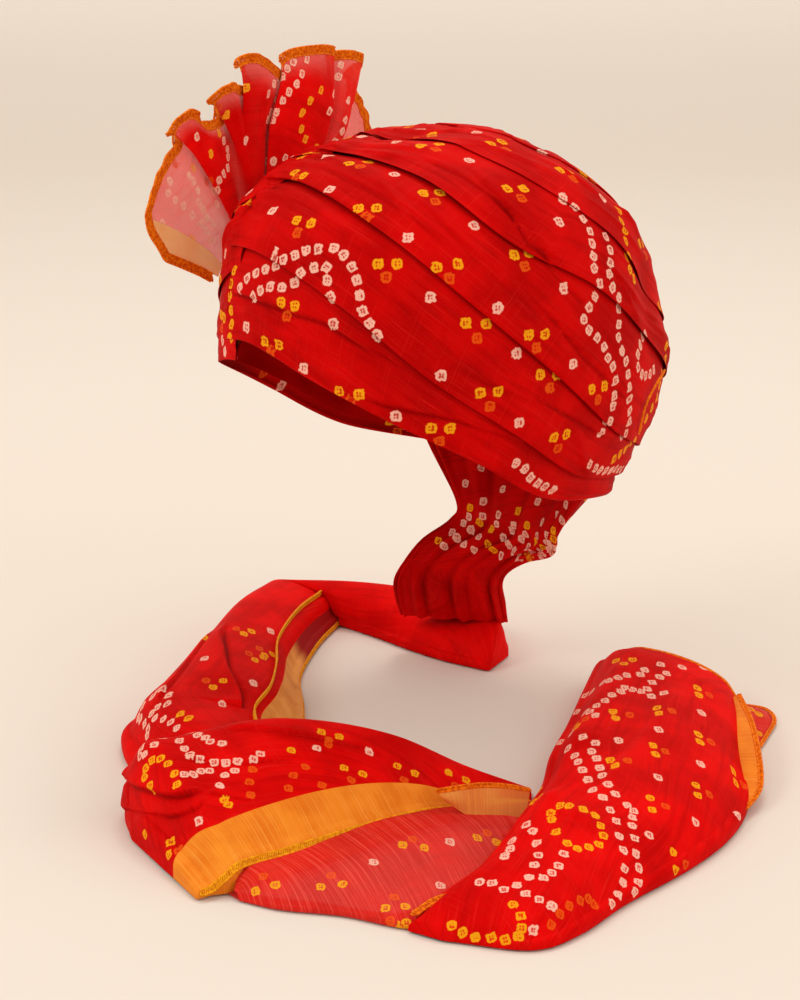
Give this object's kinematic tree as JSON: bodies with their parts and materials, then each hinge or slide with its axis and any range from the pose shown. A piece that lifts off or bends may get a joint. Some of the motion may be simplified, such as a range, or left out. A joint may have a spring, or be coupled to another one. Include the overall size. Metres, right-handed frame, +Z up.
{
  "type": "tied turban pagri",
  "caption": "Ready-tied wound turban of red bandhani cloth, hollow for the head, with a pleated crest fan at its right side and a long orange-bordered tail end lying folded on the table.",
  "frame": {"origin": "top of the head hollow, where the crown of the head seats", "axes": "+Z up along the head, wearer facing -Y, wearer's left towards +X"},
  "size_m": [0.4382, 0.3674, 0.3415],
  "materials": {
    "red_cloth": "fine slubbed weave with a slight sheen and tie-dyed dots",
    "sheer_cloth": "single sheer layer of the same cloth, paler",
    "orange_border": "plain woven border, slightly sheer",
    "orange_lace": "narrow corded lace edging"
  },
  "bodies": {
    "root": {"inner_wrap": "red_cloth", "rim_turn": "red_cloth", "lower_turn": "red_cloth", "middle_turn": "red_cloth", "upper_turn": "red_cloth", "crown_turn": "red_cloth", "crown_cap": "red_cloth", "crest_fan": "red_cloth", "tail_drop": "red_cloth", "tail_back_run": "red_cloth", "tail_side_run": "red_cloth", "tail_front_fold": "red_cloth", "tail_end_run": "red_cloth", "tail_front_panel": "sheer_cloth", "tail_tip": "sheer_cloth", "crest_border": "orange_border", "tail_side_border": "orange_border", "tail_front_border": "orange_border", "tail_end_border": "orange_border", "crest_lace": "orange_lace"}
  },
  "joints": []
}
